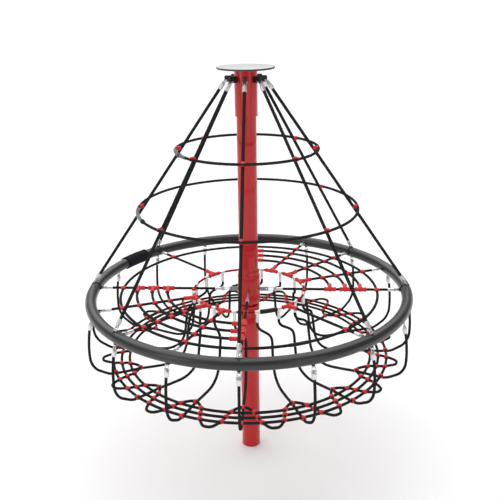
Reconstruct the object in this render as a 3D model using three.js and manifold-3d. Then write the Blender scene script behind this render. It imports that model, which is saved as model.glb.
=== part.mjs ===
// Rotating rope carousel for a playground: a steel post in the ground carries a mast that turns
// on bearings, and the mast carries a cone of eight ropes, a tubular ring with a flat web of ropes
// inside it, and a basket of sixteen hanging ropes below.
// Millimetres, +Z up. The origin is the centre of the post's foot at ground level. The web's four
// main spokes lie on X and Y, and every direction is an angle in degrees from +X towards +Y.
import * as THREE from "three";
import { mergeVertices } from "three/addons/utils/BufferGeometryUtils.js";
import Module from "manifold-3d";

const wasm = await Module();
wasm.setup();

// ---------- driving dimensions ----------
const GAP = 0.3; // clearance between pieces that touch
const STEP = 22.5; // degrees between neighbouring hanging ropes
const RING_Z = 1354; // height of the big ring, and of the web inside it
const BASKET_Z = 856; // height of the basket's circle ropes
const TOP_Z = 2987; // top of the mast's round plate

const POST_RADIUS = 71.5;
const POST_WALL = 8;
const POST_TOP = 1188;
const COLLAR = { radius: 77, height: 46 };
const BEARING_GAP = 20; // dark seam between the fixed collar and the turning hub
const SPINDLE_RADIUS = 35;
const SPINDLE_TOP = 2860;
const BEARING_HEIGHT = 40;
const BEARING_CLEARANCE = 0.35; // running clearance on the spindle

const MAST_RADIUS = 69.85;
const MAST_WALL = 6;
const HUB = { radius: 83, top: 1462, neckTop: 1512 };
const HEAD = { radius: 79.5, bottom: 2650 };
const PLATE = { radius: 200, thickness: 13, edge: 2 };
const SCREW = { circle: 105, radius: 9, depth: 6, first: 15 };
const HEAD_LUGS = { count: 8, reach: 146, height: 42, width: 18 };
const HEAD_LUG_Z = 2907;
const HUB_LUGS = { count: 4, reach: 146, height: 38, width: 12 };
const LUG_BAND = { thickness: 5, height: 16 }; // band that joins the lugs round a sleeve

const ROPE_RADIUS = 9;
const LAYER = 2 * ROPE_RADIUS + GAP; // height between two ropes that cross
const MAIN_ROPE = { radius: 10, topZ: 2876, footZ: 1432, slope: 0.6892 };
const FERRULE = { radius: 13.5, length: 50 };
const RING = { radius: 1168.5, tube: 41 };
const RING_SLEEVE = { tube: 50, from: 141.8, to: 154 };
const HOOPS = {
  upper: { radius: 502.5, z: 2426.5, sleeve: [184, 219] },
  lower: { radius: 790, z: 2000, sleeve: [184, 208] },
};
const HOOP_OFFSET = 38; // how far the upper hoop lies outside the main ropes
const HOOP_CLAMP = { radius: 26, length: 40 };
const ROPE_SLEEVE = 13; // radius of the sleeve in which a closed rope's ends meet

const WEB = { rim: 955, arcs: [835, 722, 608], inner: 415, innerTube: 11 };
const WEB_BLOCK = 42; // edge of a crossing block
const TEE = { radius: 20, length: 88, branch: 86 };
const WYE = { radius: 19, length: 60, reach: 428 };
const SPOKE = { inner: 148, outer: 1126, radius: 10 };
const WEB_RIM_SLEEVE = [288.4, 297.4];
const INNER_SLEEVE = { tube: 16, from: 283.5, to: 301.5 };

const BASKET = { circles: [921, 981, 1042], peak: 860, valley: 1119, sleeve: [143.6, 149] };
const DROPPER = { radius: 12, length: 76, circle: 415 }; // tubes that hang from the inner ring
const HANGER = { radius: 15.5, length: 48, drop: 50 }; // ferrules under the big ring

// ---------- materials ----------
const paint = (name, color, roughness, metalness) =>
  Object.assign(new THREE.MeshStandardMaterial({ color, roughness, metalness }), { name });
const redSteel = paint("red_powder_coat", 0xb8131b, 0.25, 0.0);
const blackRope = paint("black_rope", 0x191a1d, 0.9, 0.0);
const redHose = paint("red_hose", 0xb01a20, 0.6, 0.0);
const greyCover = paint("grey_ring_cover", 0x34363b, 0.5, 0.0);
const blackSleeve = paint("black_sleeve", 0x15171c, 0.6, 0.0);
const whitePlate = paint("white_plate", 0xdfe1e2, 0.4, 0.0);
const steel = paint("brushed_steel", 0x9a9da1, 0.35, 1.0);
const darkSteel = paint("dark_steel", 0x4a4c50, 0.45, 1.0);

// ---------- geometry helpers ----------
const toRadians = THREE.MathUtils.degToRad;

// The point at a distance from the axis, in a direction and at a height.
function polar(radius, degrees, z) {
  const angle = toRadians(degrees);
  return new THREE.Vector3(radius * Math.cos(angle), radius * Math.sin(angle), z);
}

const range = (count) => Array.from({ length: count }, (_, index) => index);

// A curve through listed points whose parameter counts the points, so that each point is a section.
class Route extends THREE.Curve {
  constructor(points, closed) {
    super();
    this.points = points;
    this.closed = closed;
  }
  getPointAt(u) {
    const place = u * (this.points.length - 1);
    const index = Math.min(Math.floor(place), this.points.length - 2);
    return this.points[index].clone().lerp(this.points[index + 1], place - index);
  }
  getTangentAt(u) {
    const last = this.points.length - 1;
    const index = Math.round(u * last);
    const atSeam = this.closed && (index === 0 || index === last);
    const before = this.points[atSeam ? last - 1 : Math.max(index - 1, 0)];
    const after = this.points[atSeam ? 1 : Math.min(index + 1, last)];
    return after.clone().sub(before).normalize();
  }
}

// A tube through the points. A closed one repeats its first point last and has no end lids.
function tube(points, radius, sides = 6, closed = false) {
  const section = new THREE.Shape(
    range(sides).map((side) => {
      const angle = (2 * Math.PI * side) / sides;
      return new THREE.Vector2(radius * Math.cos(angle), radius * Math.sin(angle));
    }),
  );
  const geometry = new THREE.ExtrudeGeometry(section, {
    steps: points.length - 1,
    extrudePath: new Route(points, closed),
    bevelEnabled: false,
  });
  if (!closed) return geometry;
  const walls = geometry.groups.find((group) => group.materialIndex === 1);
  const position = geometry.getAttribute("position");
  const kept = position.array.slice(walls.start * 3, (walls.start + walls.count) * 3);
  return new THREE.BufferGeometry().setAttribute("position", new THREE.BufferAttribute(kept, 3));
}

// Points of a circular arc about the Z axis.
const arc = (radius, z, from, to, steps) =>
  range(steps + 1).map((index) => polar(radius, from + ((to - from) * index) / steps, z));

// A body turned about Z from [radius, z] corners. It is a ring when no corner is on the axis.
function turned(corners, segments = 24) {
  const outline = corners.map(([radius, z]) => new THREE.Vector2(radius, z));
  if (corners.every(([radius]) => radius > 0)) outline.push(outline[0].clone());
  return new THREE.LatheGeometry(outline, segments).rotateX(Math.PI / 2);
}

// A rod along a line, turned from [radius, distance along] corners that start and end on the line.
function rod(from, to, corners, segments = 6) {
  const direction = to.clone().sub(from).normalize();
  const turn = new THREE.Quaternion().setFromUnitVectors(new THREE.Vector3(0, 0, 1), direction);
  return turned(corners, segments).applyQuaternion(turn).translate(from.x, from.y, from.z);
}

// A closed ring about the Z axis.
const hoop = (radius, tubeRadius, z, segments = 24, sides = 6) =>
  new THREE.TorusGeometry(radius, tubeRadius, sides, segments).translate(0, 0, z);

function box(sizeX, sizeY, sizeZ, centre, degrees) {
  return new THREE.BoxGeometry(sizeX, sizeY, sizeZ)
    .rotateZ(toRadians(degrees))
    .translate(centre.x, centre.y, centre.z);
}

function solidOf(geometry) {
  const plain = geometry.clone();
  plain.deleteAttribute("normal");
  plain.deleteAttribute("uv");
  const merged = mergeVertices(plain, 1e-3);
  return new wasm.Manifold(
    new wasm.Mesh({
      numProp: 3,
      vertProperties: new Float32Array(merged.getAttribute("position").array),
      triVerts: new Uint32Array(merged.index.array),
    }),
  );
}

function geometryOf(solid) {
  const { vertProperties, triVerts } = solid.getMesh();
  const geometry = new THREE.BufferGeometry();
  geometry.setAttribute("position", new THREE.BufferAttribute(vertProperties, 3));
  geometry.setIndex(new THREE.BufferAttribute(triVerts, 1));
  geometry.computeVertexNormals();
  return geometry;
}

const joined = (geometries) => geometryOf(wasm.Manifold.union(geometries.map(solidOf)));

const cut = (geometry, tools) =>
  geometryOf(solidOf(geometry).subtract(wasm.Manifold.union(tools.map(solidOf))));

const carousel = new THREE.Group();

function add(name, geometry, material) {
  const mesh = new THREE.Mesh(geometry, material);
  mesh.name = name;
  carousel.add(mesh);
}

// ---------- fixed post and bearings ----------
function addFixedPost() {
  const bore = POST_RADIUS - POST_WALL;
  const collarTop = POST_TOP + GAP + COLLAR.height;
  const shaft = SPINDLE_RADIUS;
  add(
    "ground_post",
    turned([
      [bore, 0],
      [POST_RADIUS, 0],
      [POST_RADIUS, POST_TOP],
      [bore, POST_TOP],
    ]),
    redSteel,
  );
  add(
    "post_collar",
    turned([
      [shaft + GAP, POST_TOP + GAP],
      [COLLAR.radius, POST_TOP + GAP],
      [COLLAR.radius, collarTop - 4],
      [COLLAR.radius - 4, collarTop],
      [shaft + GAP, collarTop],
    ]),
    redSteel,
  );
  add(
    "spindle",
    turned([
      [0, POST_TOP - 120],
      [shaft, POST_TOP - 120],
      [shaft, SPINDLE_TOP - 5],
      [shaft - 5, SPINDLE_TOP],
      [0, SPINDLE_TOP],
    ]),
    steel,
  );
  add(
    "lower_bearing",
    turned([
      [shaft + GAP, collarTop + GAP],
      [POST_RADIUS - 4, collarTop + GAP],
      [POST_RADIUS - 4, collarTop + BEARING_GAP - GAP],
      [shaft + GAP, collarTop + BEARING_GAP - GAP],
    ]),
    darkSteel,
  );
}

// ---------- turning mast ----------
const COLLAR_TOP = POST_TOP + GAP + COLLAR.height;
const HUB_BOTTOM = COLLAR_TOP + BEARING_GAP;
const PLATE_BOTTOM = TOP_Z - PLATE.thickness;

function addMast() {
  const bore = MAST_RADIUS - MAST_WALL;
  const mastTop = PLATE_BOTTOM - GAP;
  add(
    "mast_tube",
    turned([
      [bore, HUB_BOTTOM],
      [MAST_RADIUS, HUB_BOTTOM],
      [MAST_RADIUS, mastTop],
      [bore, mastTop],
    ]),
    redSteel,
  );
  for (const [name, bottom] of [
    ["hub_bearing", HUB_BOTTOM],
    ["head_bearing", SPINDLE_TOP - 20 - BEARING_HEIGHT],
  ])
    add(
      name,
      turned([
        [SPINDLE_RADIUS + BEARING_CLEARANCE, bottom],
        [bore - GAP, bottom],
        [bore - GAP, bottom + BEARING_HEIGHT],
        [SPINDLE_RADIUS + BEARING_CLEARANCE, bottom + BEARING_HEIGHT],
      ]),
      darkSteel,
    );
  add(
    "hub_sleeve",
    turned([
      [MAST_RADIUS + GAP, HUB_BOTTOM],
      [HUB.radius - 3, HUB_BOTTOM],
      [HUB.radius, HUB_BOTTOM + 3],
      [HUB.radius, HUB.top],
      [MAST_RADIUS + 4, HUB.neckTop],
      [MAST_RADIUS + GAP, HUB.neckTop],
    ]),
    redSteel,
  );
  add(
    "head_sleeve",
    turned([
      [MAST_RADIUS + GAP, HEAD.bottom],
      [HEAD.radius - 2, HEAD.bottom],
      [HEAD.radius, HEAD.bottom + 3],
      [HEAD.radius, mastTop],
      [MAST_RADIUS + GAP, mastTop],
    ]),
    redSteel,
  );
}

function addTopPlate() {
  const plate = turned(
    [
      [0, PLATE_BOTTOM],
      [PLATE.radius - PLATE.edge, PLATE_BOTTOM],
      [PLATE.radius, PLATE_BOTTOM + PLATE.edge],
      [PLATE.radius, TOP_Z - PLATE.edge],
      [PLATE.radius - PLATE.edge, TOP_Z],
      [0, TOP_Z],
    ],
    36,
  );
  const seats = range(4).map((index) => polar(SCREW.circle, SCREW.first + 90 * index, 0));
  const recess = (place) =>
    turned([
      [0, TOP_Z - SCREW.depth],
      [SCREW.radius + GAP, TOP_Z - SCREW.depth],
      [SCREW.radius + GAP, TOP_Z + 1],
      [0, TOP_Z + 1],
    ], 12).translate(place.x, place.y, 0);
  add("top_plate", cut(plate, seats.map(recess)), whitePlate);
  seats.forEach((place, index) =>
    add(
      "plate_screw_" + (index + 1),
      turned([
        [0, TOP_Z - SCREW.depth + GAP],
        [SCREW.radius, TOP_Z - SCREW.depth + GAP],
        [SCREW.radius, TOP_Z - 1],
        [SCREW.radius - 1, TOP_Z],
        [0, TOP_Z],
      ], 12).translate(place.x, place.y, 0),
      steel,
    ),
  );
}

// A band round the mast with lugs that reach outwards.
function addLugRing(name, sleeveRadius, lugs, z) {
  const inner = sleeveRadius + GAP;
  const outer = inner + LUG_BAND.thickness;
  const band = turned([
    [inner, z - LUG_BAND.height / 2],
    [outer, z - LUG_BAND.height / 2],
    [outer, z + LUG_BAND.height / 2],
    [inner, z + LUG_BAND.height / 2],
  ]);
  const lugLength = lugs.reach - inner - 4;
  const lugBodies = range(lugs.count).map((index) => {
    const degrees = (360 / lugs.count) * index;
    const middle = polar(inner + 4 + lugLength / 2, degrees, z);
    return box(lugLength, lugs.width, lugs.height, middle, degrees);
  });
  add(name, joined([band, ...lugBodies]), darkSteel);
}

// ---------- cone ----------
// A main rope runs straight from the head to the ring's top, with a swaged ferrule at each end.
function coneRadius(z) {
  return HOOPS.upper.radius - HOOP_OFFSET + MAIN_ROPE.slope * (HOOPS.upper.z - z);
}

const mainPoint = (degrees, z) => polar(coneRadius(z), degrees, z);

function addMainRopes() {
  for (const index of range(8)) {
    const degrees = 45 * index;
    const from = mainPoint(degrees, MAIN_ROPE.topZ);
    const to = mainPoint(degrees, MAIN_ROPE.footZ);
    const length = from.distanceTo(to);
    const { radius } = MAIN_ROPE;
    const corners = [
      [0, 0],
      [FERRULE.radius, 0],
      [FERRULE.radius, FERRULE.length],
      [radius, FERRULE.length + 6],
      [radius, length - FERRULE.length - 6],
      [FERRULE.radius, length - FERRULE.length],
      [FERRULE.radius, length],
      [0, length],
    ];
    add("main_rope_" + (index + 1), rod(from, to, corners), blackRope);
  }
}

// A rod on a main rope's line, between two distances from the point at a height.
function rodOnMainRope(degrees, z, start, end, radius) {
  return rod(mainPoint(degrees, z), mainPoint(degrees, MAIN_ROPE.footZ), [
    [0, start],
    [radius, start],
    [radius, end],
    [0, end],
  ]);
}

// A hoop of rope lies outside the eight main ropes, held by clamps through which they pass.
function addHoops() {
  const half = HOOP_CLAMP.length / 2;
  for (const [name, { radius, z, sleeve }] of Object.entries(HOOPS)) {
    const rope = hoop(radius, ROPE_RADIUS, z);
    const places = range(8).map((index) => 45 * index);
    const clamps = places.map((degrees) => rodOnMainRope(degrees, z, -half, half, HOOP_CLAMP.radius));
    const bores = places.map((degrees) =>
      rodOnMainRope(degrees, z, -2 * half, 2 * half, MAIN_ROPE.radius + GAP),
    );
    const pieces = [rope, ropeSleeve(radius, z, sleeve), ...clamps];
    add(name + "_hoop", cut(joined(pieces), bores), blackRope);
  }
}

// The sleeve in which the two ends of a closed rope meet.
const ropeSleeve = (radius, z, [from, to]) => tube(arc(radius, z, from, to, 2), ROPE_SLEEVE);

function addRing() {
  const { radius, tube: tubeRadius } = RING;
  add("main_ring", hoop(radius, tubeRadius, RING_Z, 48, 8), greyCover);
  const { tube: sleeveRadius, from, to } = RING_SLEEVE;
  const outer = tube(arc(radius, RING_Z, from, to, 5), sleeveRadius, 12);
  const inner = tube(arc(radius, RING_Z, from - 2, to + 2, 5), tubeRadius + 4, 12);
  add("ring_sleeve", cut(outer, [inner]), blackSleeve);
}

// ---------- web inside the ring ----------
// Three arcs end in tees on a main spoke, on the side where the web is closed.
function addMainSpokes() {
  for (const index of range(4)) {
    const degrees = 90 * index;
    const side = index % 2 ? -1 : 1;
    const from = polar(SPOKE.inner, degrees, RING_Z);
    const to = polar(SPOKE.outer, degrees, RING_Z);
    const length = SPOKE.outer - SPOKE.inner;
    const { radius } = SPOKE;
    const rope = rod(from, to, [
      [0, 0],
      [FERRULE.radius, 0],
      [FERRULE.radius, 2 * FERRULE.length],
      [radius, 2 * FERRULE.length + 6],
      [radius, length - FERRULE.length - 66],
      [FERRULE.radius, length - FERRULE.length - 60],
      [FERRULE.radius, length],
      [0, length],
    ]);
    const tees = WEB.arcs.flatMap((distance) => {
      const half = TEE.length / 2;
      const body = rod(polar(distance - half, degrees, RING_Z), to, [
        [0, 0],
        [TEE.radius, 0],
        [TEE.radius, TEE.length],
        [0, TEE.length],
      ]);
      const middle = new THREE.Vector3(distance, (side * TEE.branch) / 2, RING_Z);
      const branch = box(24, TEE.branch, 28, middle, 0);
      return [body, branch.rotateZ(toRadians(degrees))];
    });
    add("main_spoke_" + (index + 1), joined([rope, ...tees]), blackRope);
  }
}

// A secondary spoke from the ring to its wye at the inner ring.
function sideSpoke(degrees) {
  const from = polar(WYE.reach, degrees, RING_Z);
  const to = polar(SPOKE.outer, degrees, RING_Z);
  const length = SPOKE.outer - WYE.reach;
  return rod(from, to, [
    [0, 0],
    [WYE.radius, 0],
    [WYE.radius, WYE.length],
    [ROPE_RADIUS, WYE.length + 6],
    [ROPE_RADIUS, length - FERRULE.length - 6],
    [FERRULE.radius, length - FERRULE.length],
    [FERRULE.radius, length],
    [0, length],
  ]);
}

function addWebPanels() {
  for (const [name, start] of [
    ["web_panel_a", 0],
    ["web_panel_b", 180],
  ]) {
    const spokes = [1, 2, 3].map((step) => start + STEP * step);
    const arcs = WEB.arcs.map((radius) => {
      const margin = THREE.MathUtils.radToDeg((TEE.branch + 2) / radius);
      return tube(arc(radius, RING_Z, start + margin, start + 90 - margin, 8), ROPE_RADIUS);
    });
    const blocks = spokes.flatMap((degrees) =>
      WEB.arcs.map((radius) =>
        box(WEB_BLOCK, WEB_BLOCK, 34, polar(radius, degrees, RING_Z), degrees),
      ),
    );
    add(name, joined([...spokes.map(sideSpoke), ...arcs, ...blocks]), blackRope);
  }
  add("side_spoke_a", sideSpoke(135), blackRope);
  add("side_spoke_b", sideSpoke(315), blackRope);
}

// The rim rope passes under the spokes, and a half block under each spoke holds it.
function addWebRim() {
  const z = RING_Z - LAYER - 1;
  const spokes = range(16)
    .map((index) => STEP * index)
    .filter((degrees) => degrees % 90 === 0 || Math.floor(degrees / 90) % 2 === 0 || degrees % 45 === 0);
  const blockTop = RING_Z - SPOKE.radius - GAP;
  const blockHeight = 24;
  const blocks = spokes.map((degrees) =>
    box(WEB_BLOCK, WEB_BLOCK, blockHeight, polar(WEB.rim, degrees, blockTop - blockHeight / 2), degrees),
  );
  const rope = hoop(WEB.rim, ROPE_RADIUS, z);
  add("web_rim", joined([rope, ropeSleeve(WEB.rim, z, WEB_RIM_SLEEVE), ...blocks]), blackRope);
}

function addInnerRing() {
  const z = RING_Z - SPOKE.radius - WEB.innerTube - GAP;
  const ring = hoop(WEB.inner, WEB.innerTube, z);
  const { tube: sleeveRadius, from, to } = INNER_SLEEVE;
  const margin = THREE.MathUtils.radToDeg((3 * GAP) / WEB.inner);
  const space = tube(arc(WEB.inner, z, from - margin, to + margin, 4), 1.5 * sleeveRadius, 8);
  add("inner_ring", cut(ring, [space]), redHose);
  add("inner_sleeve", tube(arc(WEB.inner, z, from, to, 4), sleeveRadius, 8), blackSleeve);
}

// ---------- basket ----------
// A hanging rope drops from the big ring, turns in along the basket's floor, rises beside the mast,
// and steps half a bay sideways to the tube that hangs from the inner ring.
function hangingRoute() {
  const floor = BASKET_Z - LAYER;
  const outerTop = RING_Z - RING.tube - 2;
  const outside = [
    [1188, outerTop],
    [1206, outerTop - 110],
    [1220, RING_Z - 290],
    [1213, RING_Z - 383],
    [1183, RING_Z - 445],
    [1135, RING_Z - 482],
    [1078, floor],
  ];
  const inside = [
    [640, floor],
    [586, RING_Z - 492],
    [536, RING_Z - 454],
    [502, RING_Z - 390],
    [486, RING_Z - 285],
    [474, RING_Z - 195],
  ];
  const inPlane = [...outside, ...inside].map(([radius, z]) => polar(radius, 0, z));
  const sideways = [
    polar(456, -STEP * 0.12, RING_Z - 165),
    polar(426, -STEP * 0.4, RING_Z - 134),
    polar(DROPPER.circle, -STEP / 2, RING_Z - 112),
  ];
  const tubeTop = RING_Z - SPOKE.radius - 2 * WEB.innerTube - 2 * GAP;
  return [...inPlane, ...sideways, polar(DROPPER.circle, -STEP / 2, tubeTop)];
}

function addHangingRopes() {
  const route = hangingRoute();
  const top = route[0];
  const foot = route.at(-1);
  const hanger = rod(new THREE.Vector3(top.x + 7, 0, RING_Z - RING.tube - HANGER.drop), route[2], [
    [0, 0],
    [HANGER.radius, 0],
    [HANGER.radius, HANGER.length],
    [0, HANGER.length],
  ]);
  const down = new THREE.Vector3(foot.x, foot.y, 0);
  const dropper = rod(foot, down, [
    [0, 0],
    [DROPPER.radius, 0],
    [DROPPER.radius, DROPPER.length],
    [0, DROPPER.length],
  ]);
  const body = joined([tube(route, ROPE_RADIUS), hanger, dropper]);
  for (const index of range(16)) {
    const turnedBody = body.clone().rotateZ(toRadians(STEP * index));
    add("hanging_rope_" + (index + 1), turnedBody, blackRope);
  }
}

function addBasketCircles() {
  BASKET.circles.forEach((radius, index) => {
    const rope = hoop(radius, ROPE_RADIUS, BASKET_Z);
    const sleeve = ropeSleeve(radius, BASKET_Z, BASKET.sleeve);
    add("basket_circle_" + (index + 1), joined([rope, sleeve]), blackRope);
  });
}

// The wave rope swings between an inner peak over each hanging rope and an outer valley half way.
function addWaveRope() {
  const [inner, middle, outer] = BASKET.circles;
  const halfBay = [
    [0, BASKET.peak],
    [0.2156, inner],
    [0.271, middle],
    [0.322, outer],
    [0.42, BASKET.valley - 12],
  ];
  const bay = [
    ...halfBay,
    [0.5, BASKET.valley],
    ...halfBay.slice(1).reverse().map(([share, radius]) => [1 - share, radius]),
  ];
  const points = range(16).flatMap((index) =>
    bay.map(([share, radius]) => polar(radius, STEP * (index + share), BASKET_Z + LAYER)),
  );
  points.push(points[0].clone());
  add("wave_rope", tube(points, ROPE_RADIUS, 6, true), blackRope);
}

addFixedPost();
addMast();
addTopPlate();
addLugRing("head_lugs", HEAD.radius, HEAD_LUGS, HEAD_LUG_Z);
addLugRing("hub_lugs", HUB.radius, HUB_LUGS, RING_Z);
addMainRopes();
addHoops();
addRing();
addMainSpokes();
addWebPanels();
addWebRim();
addInnerRing();
addHangingRopes();
addBasketCircles();
addWaveRope();

export default carousel;
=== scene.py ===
import math

import bpy
import numpy as np
from mathutils import Matrix, Vector


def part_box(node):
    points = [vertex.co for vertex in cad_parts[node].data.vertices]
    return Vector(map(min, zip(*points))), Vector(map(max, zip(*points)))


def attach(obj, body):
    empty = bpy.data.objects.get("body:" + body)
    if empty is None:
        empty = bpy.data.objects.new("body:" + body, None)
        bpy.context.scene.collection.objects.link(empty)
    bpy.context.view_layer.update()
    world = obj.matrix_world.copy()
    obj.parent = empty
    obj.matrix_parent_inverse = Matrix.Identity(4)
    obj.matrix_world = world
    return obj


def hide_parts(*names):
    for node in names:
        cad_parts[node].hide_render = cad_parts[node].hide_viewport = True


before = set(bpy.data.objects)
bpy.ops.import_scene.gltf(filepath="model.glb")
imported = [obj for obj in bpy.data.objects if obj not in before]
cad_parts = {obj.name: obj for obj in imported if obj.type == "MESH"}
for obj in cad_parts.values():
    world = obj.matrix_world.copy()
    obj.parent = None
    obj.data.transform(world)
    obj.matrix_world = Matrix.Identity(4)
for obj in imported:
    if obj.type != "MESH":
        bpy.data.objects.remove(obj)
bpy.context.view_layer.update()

bl_info = {
    "name": "Rope Carousel",
    "version": (1, 0, 0),
    "blender": (4, 5, 0),
    "location": "View3D > Sidebar > Carousel",
    "description": "Finishes a turning rope climber: ropes, clamps, fittings, mast and ring",
    "category": "Object",
}

# ---------- places, read from the frame ----------
# Metres, +Z up, mast on Z. Directions are degrees from +X towards +Y.


def node_centre_height(node):
    low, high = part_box(node)
    return (low.z + high.z) / 2


def node_reach(node):
    """How far the node reaches along +X."""
    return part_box(node)[1].x


RING_TUBE = (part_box("main_ring")[1].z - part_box("main_ring")[0].z) / 2
RING_RADIUS = node_reach("main_ring") - RING_TUBE
RING_Z = node_centre_height("main_ring")
BASKET_Z = node_centre_height("basket_circle_2")
WAVE_Z = BASKET_Z + 0.006  # the clamps press the ropes together where they cross
FLOOR_Z = BASKET_Z - 0.013
UPPER_HOOP_Z = node_centre_height("upper_hoop")
LOWER_HOOP_Z = node_centre_height("lower_hoop")
HUB_BOTTOM, HUB_TOP = (corner.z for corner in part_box("hub_sleeve"))
HUB_RADIUS = node_reach("hub_sleeve")
HEAD_BOTTOM, HEAD_TOP = (corner.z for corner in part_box("head_sleeve"))
HEAD_RADIUS = node_reach("head_sleeve")
MAST_RADIUS = node_reach("mast_tube")
POST_RADIUS = node_reach("ground_post")
POST_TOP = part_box("ground_post")[1].z
COLLAR_RADIUS = node_reach("post_collar")
COLLAR_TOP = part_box("post_collar")[1].z
PLATE_BOTTOM, PLATE_TOP = (corner.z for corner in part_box("top_plate"))
PLATE_RADIUS = node_reach("top_plate")
HEAD_LUG_BOTTOM, HEAD_LUG_TOP = (corner.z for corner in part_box("head_lugs"))
HEAD_LUG_REACH = node_reach("head_lugs")
HUB_LUG_REACH = node_reach("hub_lugs")
HEAD_HOLE = HEAD_LUG_REACH - 0.012
HEAD_HOLE_Z = HEAD_LUG_BOTTOM + 0.011
HUB_HOLE = HUB_LUG_REACH - 0.014
UP = (0, 0, 1)
GAP = 0.0003  # between pieces that would otherwise share a face
STRANDS = 6  # in every rope

MAIN_ROPES = np.arange(8) * 45.0
MAIN_TOP_Z = 2.876
MAIN_FOOT_Z = 1.432
CONE_SLOPE = 0.6892  # how much further out a main rope is for each metre further down
UPPER_HOOP_RADIUS = 0.5025
LOWER_HOOP_RADIUS = 0.790
HOOP_OFFSET = 0.038  # how far the upper hoop lies outside the main ropes

BAY = 22.5  # degrees between hanging ropes
BAYS = BAY * np.arange(16)
MAIN_SPOKES = np.array([0, 90, 180, 270.0])
CLOSED_QUARTERS = (0, 180)
CLOSED_SPOKES = [start + BAY * step for start in CLOSED_QUARTERS for step in (1, 2, 3)]
SINGLE_SPOKES = (135, 315)
SIDE_SPOKES = np.array([*CLOSED_SPOKES, *SINGLE_SPOKES])
ALL_SPOKES = np.array([*MAIN_SPOKES, *SIDE_SPOKES])
SPOKE_START = 0.205  # where a main spoke's inner ferrule starts
SPOKE_END = 1.083  # where a spoke's outer ferrule ends
WEB_RIM = 0.955
WEB_ARCS = (0.835, 0.722, 0.608)
INNER_RING = 0.415
LOW_Z = RING_Z - 0.006  # the web's rim and the inner ring pass a little under the spokes

CIRCLE_RADII = [node_reach(f"basket_circle_{number}") - 0.009 for number in (1, 2, 3)]
WAVE_CROSSINGS = (0.2156, 0.271, 0.322)  # shares of a bay at which the wave crosses the circles
WAVE_PEAK = 0.860
WAVE_VALLEY = 1.119
HANGER_RADIUS = 1.1905  # where a hanging rope's ferrule starts
ANCHOR_RADIUS = 1.1785  # where its anchor stands on the ring's underside


# ---------- colour, settings ----------


def linear(hex_colour):
    """An sRGB hex colour as three linear numbers."""
    parts = np.array([int(hex_colour[place:place + 2], 16) for place in (0, 2, 4)]) / 255
    low = parts / 12.92
    high = ((parts + 0.055) / 1.055) ** 2.4
    return tuple(float(part) for part in np.where(parts <= 0.04045, low, high))


def colour_property(label, description, hex_colour):
    return bpy.props.FloatVectorProperty(
        name=label, description=description, subtype="COLOR", size=3, min=0, max=1,
        default=linear(hex_colour),
    )


def length_property(label, description, metres):
    return bpy.props.FloatProperty(
        name=label, description=description, default=metres, unit="LENGTH", min=0.0005, precision=4
    )


class CarouselSizes(bpy.types.PropertyGroup):
    """Sizes that a maker would change."""

    rope: length_property("Net rope", "Diameter of the net's ropes", 0.0205)
    main_rope: length_property("Main rope", "Diameter of the cone's ropes", 0.0235)
    lay: length_property("Lay", "Length in which a strand goes once round the rope", 0.11)
    hose: length_property("Inner ring", "Diameter of the inner ring's covered rope", 0.017)
    clamp: length_property("Clamp", "Diameter of a crossing clamp in the web", 0.032)
    basket_clamp: length_property("Basket clamp", "Diameter of a clamp in the basket", 0.028)
    ferrule: length_property("Ferrule", "Diameter of a swaged ferrule", 0.031)
    shackle: length_property("Shackle", "Diameter of a shackle's rod", 0.0065)


class CarouselColours(bpy.types.PropertyGroup):
    """Colours that a buyer would choose."""

    steel: colour_property("Steelwork", "Powder coat of the post and mast", "C00D12")
    clamps: colour_property("Clamps", "Moulded clamps, tees and wyes", "CE262C")
    ropes: colour_property("Ropes", "Polyester yarn of the ropes", "2E3030")
    hose: colour_property("Inner ring", "Yarn of the inner ring", "B5141C")
    ring: colour_property("Ring", "Cover of the big ring", "212223")
    wrap: colour_property("Ring wrap", "Wrap over the ring's joint", "1C1D24")
    plate: colour_property("Top plate", "Laminate of the top plate", "C9CCCD")


def sizes():
    return bpy.context.scene.carousel_sizes


def colours():
    return bpy.context.scene.carousel_colours


# ---------- shapes as arrays ----------


def unit(vectors):
    """Each vector divided by its own length."""
    return vectors / np.linalg.norm(vectors, axis=-1, keepdims=True)


def polar(radius, degrees, z):
    """Points at radius (cos, sin) of the direction and at height z, for numbers or arrays."""
    radius, angle, z = np.broadcast_arrays(radius, np.radians(degrees), z)
    return np.stack([radius * np.cos(angle), radius * np.sin(angle), z], -1).astype(float)


def spaced(points, spacing, closed=False):
    """The points again at an even spacing: arc length summed, then read back by interpolation."""
    if closed:
        points = np.vstack([points, points[:1]])
    steps = np.linalg.norm(np.diff(points, axis=0), axis=1)
    along = np.concatenate([[0], np.cumsum(steps)])
    count = max(2, int(round(along[-1] / spacing)) + 1)
    places = np.linspace(0, along[-1], count)
    even = np.stack([np.interp(places, along, points[:, axis]) for axis in range(3)], -1)
    return even[:-1] if closed else even


def smooth(points, closed=False, steps=12):
    """A Catmull-Rom curve: on each stretch p0..p3 the cubic that passes p1 and p2 with slopes
    (p2 - p0) / 2 and (p3 - p1) / 2."""
    points = np.asarray(points, float)
    if closed:
        before, start = np.roll(points, 1, 0), points
        end, after = np.roll(points, -1, 0), np.roll(points, -2, 0)
    else:
        padded = np.vstack([2 * points[:1] - points[1:2], points, 2 * points[-1:] - points[-2:-1]])
        before, start, end, after = padded[:-3], padded[1:-2], padded[2:-1], padded[3:]
    t = (np.arange(steps) / steps)[None, :, None]
    p0, p1, p2, p3 = (stretch[:, None] for stretch in (before, start, end, after))
    curve = 0.5 * (
        2 * p1 + (p2 - p0) * t + (2 * p0 - 5 * p1 + 4 * p2 - p3) * t**2
        + (3 * p1 - p0 - 3 * p2 + p3) * t**3
    )
    curve = curve.reshape(-1, 3)
    return curve if closed else np.vstack([curve, points[-1:]])


def circle_path(radius, z, spacing=0.010):
    """A closed circle about Z."""
    count = int(2 * math.pi * radius / spacing)
    return polar(radius, np.arange(count) * 360 / count, z)


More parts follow.
